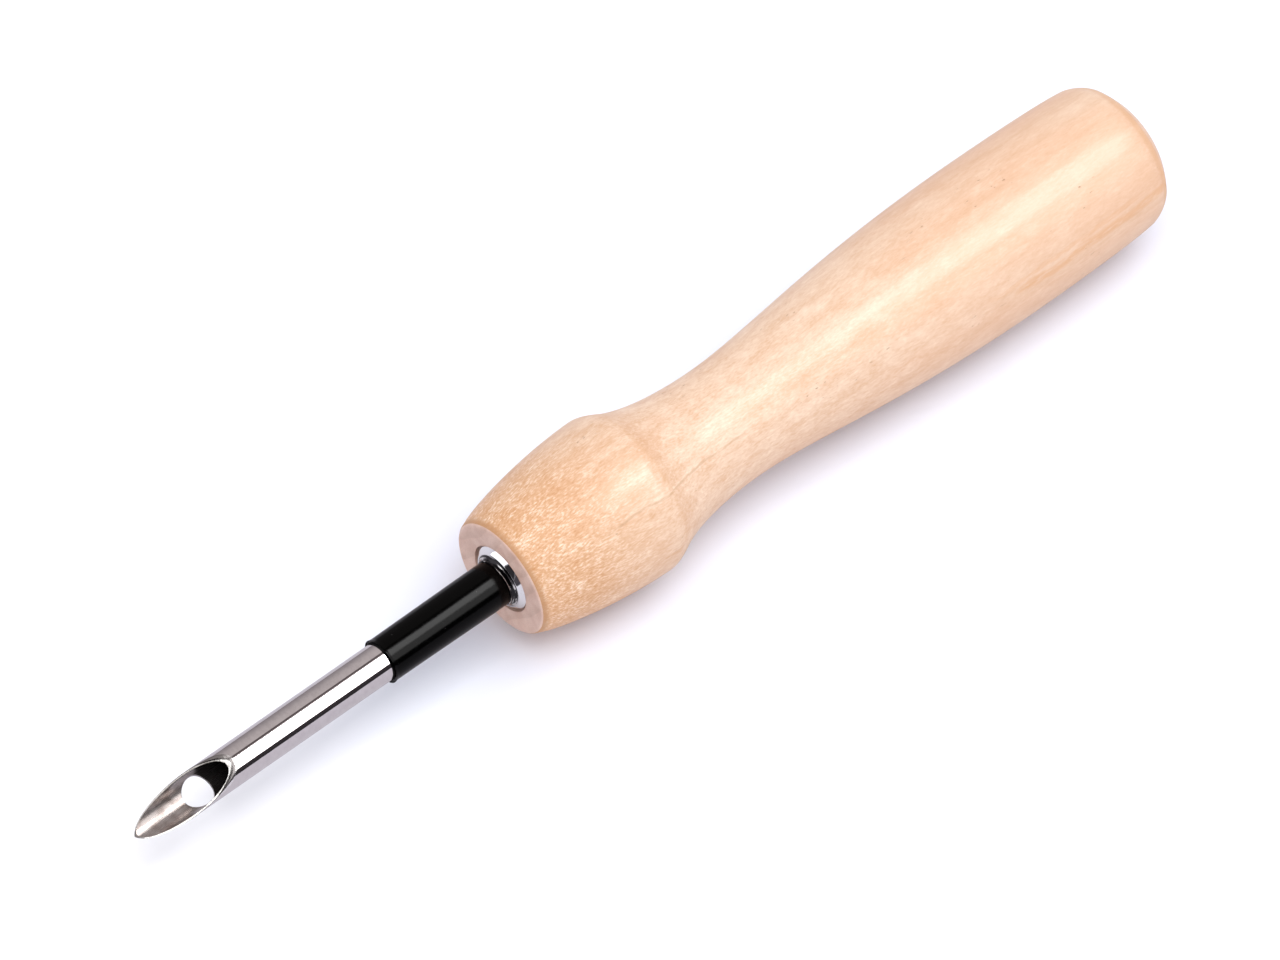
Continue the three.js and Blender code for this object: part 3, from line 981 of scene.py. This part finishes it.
def make_needle():
    """Both skins, the strips between them, the plain shank and its rear end."""
    surface = Surface()
    outer_rim, outer_eye, outer_rear = skin(surface, OUTER_RADIUS, 1, 0)
    inner_rim, inner_eye, inner_rear = skin(surface, INNER_RADIUS, -1, 1)
    for loop, outer_ids, inner_ids in ((rim_loop, outer_rim, inner_rim), (eye_loop, outer_eye, inner_eye)):
        outer_edge = [roll(OUTER_RADIUS, *p) for p in loop(OUTER_RADIUS)][: len(outer_ids)]
        inner_edge = [roll(INNER_RADIUS, *p) for p in loop(INNER_RADIUS)][: len(inner_ids)]
        dulled = OUTER_RADIUS if loop is rim_loop else INNER_RADIUS
        rounds = [(edge_round(p.y, dulled), edge_round(p.y)) for p in loop(INNER_RADIUS)]
        strip(surface, outer_ids, inner_ids, outer_edge, inner_edge, rounds, 2)
    length = NEEDLE_REACH + SHANK_DEPTH
    outer_end = tube_rest(surface, OUTER_RADIUS, 1, outer_rear, length, 0)
    inner_end = tube_rest(surface, INNER_RADIUS, -1, inner_rear, length - FUNNEL_DEPTH, 1)
    back = Vector((1, 0, 0))
    lip = [surface.vertex(surface.vertices[i], back) for i in outer_end]
    funnel = [surface.vertex(surface.vertices[i], back) for i in inner_end]
    for i in range(AROUND):
        k = (i + 1) % AROUND
        surface.face([lip[i], lip[k], funnel[k], funnel[i]], 2)
    materials = [polished_nickel(), bore_nickel(), ground_nickel()]
    piece = new_object(
        "nickel_needle", surface.vertices, surface.faces, materials, surface.slots, surface.normals
    )
    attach(piece, "tool")
    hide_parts("hollow_needle")


# ---- Studio -----------------------------------------------------------------------------------

def make_camera():
    """A long lens that looks along the tool from the needle's side, from above."""
    azimuth = math.radians(-41.36)
    elevation = math.radians(52.0)
    distance = 1.6
    back = Vector((
        math.sin(azimuth) * math.cos(elevation),
        -math.cos(azimuth) * math.cos(elevation),
        math.sin(elevation),
    ))
    target = place(21.67, 0.38, -0.28)
    data = bpy.data.cameras.new("camera")
    data.sensor_width = 36
    data.lens = 391
    camera = bpy.data.objects.new("camera", data)
    camera.location = target + back * distance
    camera.rotation_mode = "QUATERNION"
    camera.rotation_quaternion = (-back).to_track_quat("-Z", "Y")
    bpy.context.scene.collection.objects.link(camera)
    bpy.context.scene.camera = camera


def along_tool(lean, angle):
    """A direction by its lean towards the butt and its angle from straight up towards the camera."""
    flat = math.sqrt(1 - lean * lean)
    return (lean, -flat * math.sin(math.radians(angle)), flat * math.cos(math.radians(angle)))


def area_light(name, direction, distance, size, radiance, seen_by_gloss=True, lights_matt=True):
    """A rectangular softbox that faces the tool's middle; its first side runs along the tool."""
    data = bpy.data.lights.new(name, "AREA")
    data.shape = "RECTANGLE"
    data.size, data.size_y = size
    data.energy = radiance * math.pi * size[0] * size[1]
    light = bpy.data.objects.new(name, data)
    back = Vector(direction).normalized()
    side = Vector((1, 0, 0))
    side = (side - back * side.dot(back)).normalized()
    light.matrix_world = Matrix((side, back.cross(side), back)).transposed().to_4x4()
    light.location = place(21, 0, 0) + back * distance
    light.visible_glossy = seen_by_gloss
    light.visible_diffuse = lights_matt
    bpy.context.scene.collection.objects.link(light)


def make_floor():
    """White card, overexposed to the camera. In reflections it ends beyond the point, at the dark room."""
    shader = Shader("white_card")
    grain = shader.noise((2.0, 2.0, 2.0), (4, 4, 4), detail=2)
    card = shader.mix(grain, (0.87, 0.865, 0.90), (0.89, 0.885, 0.92))
    along = shader.part(shader.point, 0)
    across = shader.part(shader.point, 1)
    # The camera sees it a little darker and bluer beside the handle, which deepens the shadow there.
    seen = shader.mix(shader.remap(along, -60, 20), (0.975, 0.97, 0.96), (0.825, 0.86, 0.945))
    card = shader.mix(shader.ray_is("Camera"), card, seen)
    beyond = shader.product(shader.remap(along, -40, -44), shader.remap(across, -12, -15))
    mirrored = shader.mix(beyond, (0.60, 0.58, 0.61), (0.05, 0.045, 0.05))
    card = shader.mix(shader.ray_is("Glossy"), card, mirrored)
    material = shader.finish(Base_Color=card, Roughness=0.9, Specular_IOR_Level=0.0)
    bottom = CAD_BOX[0].z
    half, near_edge, far_edge = 1.5, -0.3, 1.5
    corners = [
        (-half, near_edge, bottom),
        (half, near_edge, bottom),
        (half, far_edge, bottom),
        (-half, far_edge, bottom),
    ]
    floor = new_object("floor", corners, [(0, 1, 2, 3)], [material])


def make_world():
    """A room that reflections show in detail, matt surfaces as an even grey and the camera as white."""
    world = bpy.data.worlds.new("studio")
    world.use_nodes = True
    bpy.context.scene.world = world
    tree = world.node_tree
    background = tree.nodes["Background"]
    coordinates = tree.nodes.new("ShaderNodeTexCoord")
    split = tree.nodes.new("ShaderNodeSeparateXYZ")
    tree.links.new(coordinates.outputs["Generated"], split.inputs[0])

    def calculate(operation, a, b):
        node = tree.nodes.new("ShaderNodeMath")
        node.operation = operation
        for value, socket in zip((a, b), node.inputs):
            if isinstance(value, bpy.types.NodeSocket):
                tree.links.new(value, socket)
            else:
                socket.default_value = value
        return node.outputs[0]

    def ramp(value, low, high, to_low, to_high):
        node = tree.nodes.new("ShaderNodeMapRange")
        node.interpolation_type = "SMOOTHSTEP"
        tree.links.new(value, node.inputs[0])
        for number, socket in zip((low, high, to_low, to_high), list(node.inputs)[1:5]):
            socket.default_value = number
        return node.outputs[0]

    def spot(direction, outer, inner):
        """1 within the inner angle of a direction, 0 outside the outer one; degrees."""
        node = tree.nodes.new("ShaderNodeVectorMath")
        node.operation = "DOT_PRODUCT"
        tree.links.new(coordinates.outputs["Generated"], node.inputs[0])
        node.inputs[1].default_value = Vector(direction).normalized()
        outside = math.cos(math.radians(outer))
        within = math.cos(math.radians(inner))
        return ramp(node.outputs["Value"], outside, within, 0.0, 1.0)

    def blend(factor, a, b):
        node = tree.nodes.new("ShaderNodeMix")
        node.data_type = "RGBA"
        tree.links.new(factor, node.inputs[0])
        for colour, socket in ((a, node.inputs[6]), (b, node.inputs[7])):
            if isinstance(colour, bpy.types.NodeSocket):
                tree.links.new(colour, socket)
            else:
                socket.default_value = (*colour, 1)
        return node.outputs[2]

    y = split.outputs["Y"]
    z = split.outputs["Z"]
    # Walls get darker towards the ground.
    walls = blend(ramp(z, 0.0, 0.95, 0.0, 1.0), (0.36, 0.33, 0.345), (0.66, 0.61, 0.605))
    # The dark gap between the softbox and the ground, on the camera's side.
    gap = calculate("MULTIPLY", ramp(y, -0.45, -0.2, 1.0, 0.0), ramp(z, 0.33, 0.42, 1.0, 0.0))
    walls = blend(gap, walls, (0.045, 0.04, 0.045))
    # The softbox's dark frame, a strip just past straight up.
    slant = calculate("DIVIDE", y, calculate("MAXIMUM", z, 0.05))
    strip_low = ramp(slant, -0.02, 0.02, 0.0, 1.0)
    strip_high = ramp(slant, 0.14, 0.2, 1.0, 0.0)
    frame_strip = calculate("MULTIPLY", strip_low, strip_high)
    walls = blend(frame_strip, walls, (0.12, 0.10, 0.10))
    # The room is dark on the needle's side, but for a small panel over the point and a card far behind it.
    x = split.outputs["X"]
    dark_side = calculate("MULTIPLY", ramp(x, -0.12, -0.05, 1.0, 0.0), ramp(z, -0.02, 0.04, 0.0, 1.0))
    walls = blend(dark_side, walls, (0.03, 0.027, 0.03))
    card = calculate("MULTIPLY", ramp(x, -0.5, -0.42, 1.0, 0.0), ramp(y, 0.13, 0.19, 0.0, 1.0))
    card = calculate("MULTIPLY", card, ramp(z, 0.42, 0.5, 1.0, 0.0))
    walls = blend(card, walls, (1.5, 1.5, 1.55))
    panel = spot((-0.30, -0.17, 0.94), 13, 9)
    walls = blend(panel, walls, (2.2, 2.15, 2.1))
    matt_light = (0.74, 0.742, 0.815)
    white = (1, 1, 1)
    path = tree.nodes.new("ShaderNodeLightPath")
    walls = blend(path.outputs["Is Diffuse Ray"], walls, matt_light)
    seen = blend(path.outputs["Is Camera Ray"], walls, white)
    tree.links.new(seen, background.inputs["Color"])
    background.inputs["Strength"].default_value = 1.0


def make_lights():
    """A softbox that gloss shows in two steps of brightness, and an overhead panel for matt light."""
    reach = 0.6
    width = 0.30
    lean = 0.43
    hot_low, hot_high, dim_high = 6.2, 36.0, 66.5

    def span(low, high):
        """Side of a panel that covers the angles from low to high."""
        flat = math.sqrt(1 - lean * lean)
        return 2 * reach * math.tan(math.asin(flat * math.sin(math.radians(high - low) / 2)))

    hot = along_tool(lean, (hot_low + hot_high) / 2)
    hot_size = (width, span(hot_low, hot_high))
    area_light("softbox", hot, reach, hot_size, radiance=13.0, lights_matt=False)
    dim = along_tool(lean, (hot_high + dim_high) / 2)
    dim_size = (width, span(hot_high, dim_high))
    area_light("softbox_lower", dim, reach, dim_size, radiance=4.0, lights_matt=False)
    overhead = along_tool(0.1, 17)
    overhead_reach = 0.9
    overhead_size = (1.4, 0.64)
    area_light("overhead", overhead, overhead_reach, overhead_size, radiance=2.6, seen_by_gloss=False)


make_camera()
make_world()
make_floor()
make_lights()
bpy.context.scene.view_settings.view_transform = "Standard"

make_handle()
make_ferrule()
make_sleeve()
make_liner()
make_eyelet()
make_needle()
